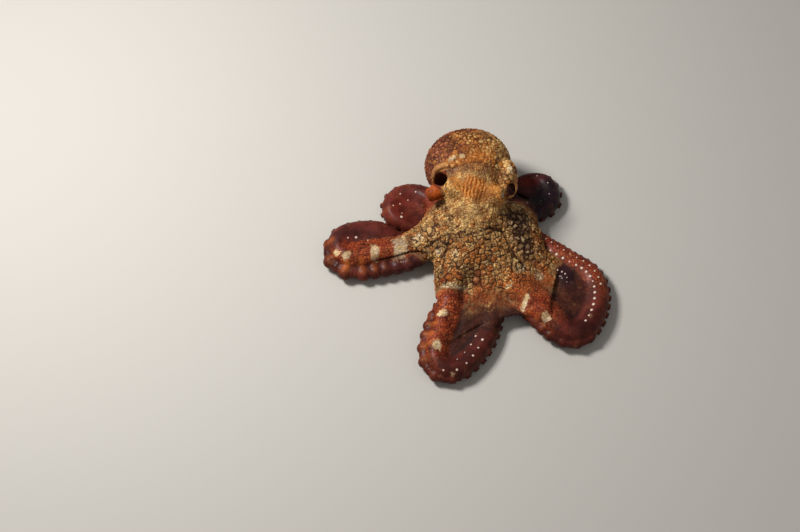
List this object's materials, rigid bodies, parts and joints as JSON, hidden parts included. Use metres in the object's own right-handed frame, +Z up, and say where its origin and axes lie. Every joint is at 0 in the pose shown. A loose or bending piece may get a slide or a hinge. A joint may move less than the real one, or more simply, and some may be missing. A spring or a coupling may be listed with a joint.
{
  "type": "octopus model",
  "caption": "Life-size still model of a common octopus lying on its folded, suckered arms, with its rounded mantle behind a raised-eyed head.",
  "frame": {"origin": "centre of the outline on the floor that the arms lie on", "axes": "+Z up, +Y from the front arms towards the mantle, +X towards the animal's left"},
  "size_m": [0.3606, 0.3333, 0.1008],
  "materials": {
    "mantle_skin": "wet, cobbled ochre skin with dark grooves",
    "body_skin": "wet, cobbled ochre and brown skin",
    "arm_skin": "wet red-brown skin with pale spots",
    "web_skin": "wet, thin dark-brown skin",
    "sucker": "smooth, moist, pale-rimmed",
    "papilla": "smooth, pale raised spots",
    "eye": "clear glossy eye with a dark slit pupil"
  },
  "bodies": {
    "root": {"eye_left": "eye", "eye_right": "eye", "head": "body_skin", "funnel": "body_skin", "mantle": "mantle_skin", "crown": "body_skin", "arm_right_1_base": "arm_skin", "arm_right_1_middle": "arm_skin", "arm_right_1_tip": "arm_skin", "arm_left_1_base": "arm_skin", "arm_left_1_middle": "arm_skin", "arm_left_1_tip": "arm_skin", "arm_right_2_base": "arm_skin", "arm_right_2_middle": "arm_skin", "arm_right_2_tip": "arm_skin", "arm_left_2_base": "arm_skin", "arm_left_2_tip": "arm_skin", "arm_right_3_base": "arm_skin", "arm_right_3_tip": "arm_skin", "arm_left_3_base": "arm_skin", "arm_left_3_tip": "arm_skin", "arm_right_4_base": "arm_skin", "arm_right_4_tip": "arm_skin", "arm_left_4_base": "arm_skin", "arm_left_4_tip": "arm_skin", "web_right_1_left_1": "web_skin", "web_left_1_left_2": "web_skin", "web_left_2_left_3": "web_skin", "web_left_3_left_4": "web_skin", "web_left_4_right_4": "web_skin", "web_right_4_right_3": "web_skin", "web_right_3_right_2": "web_skin", "web_right_2_right_1": "web_skin", "fold_right_1": "web_skin", "fold_left_1": "web_skin", "fold_right_2": "web_skin", "fold_right_3": "web_skin", "fold_left_3": "web_skin"}
  },
  "joints": []
}
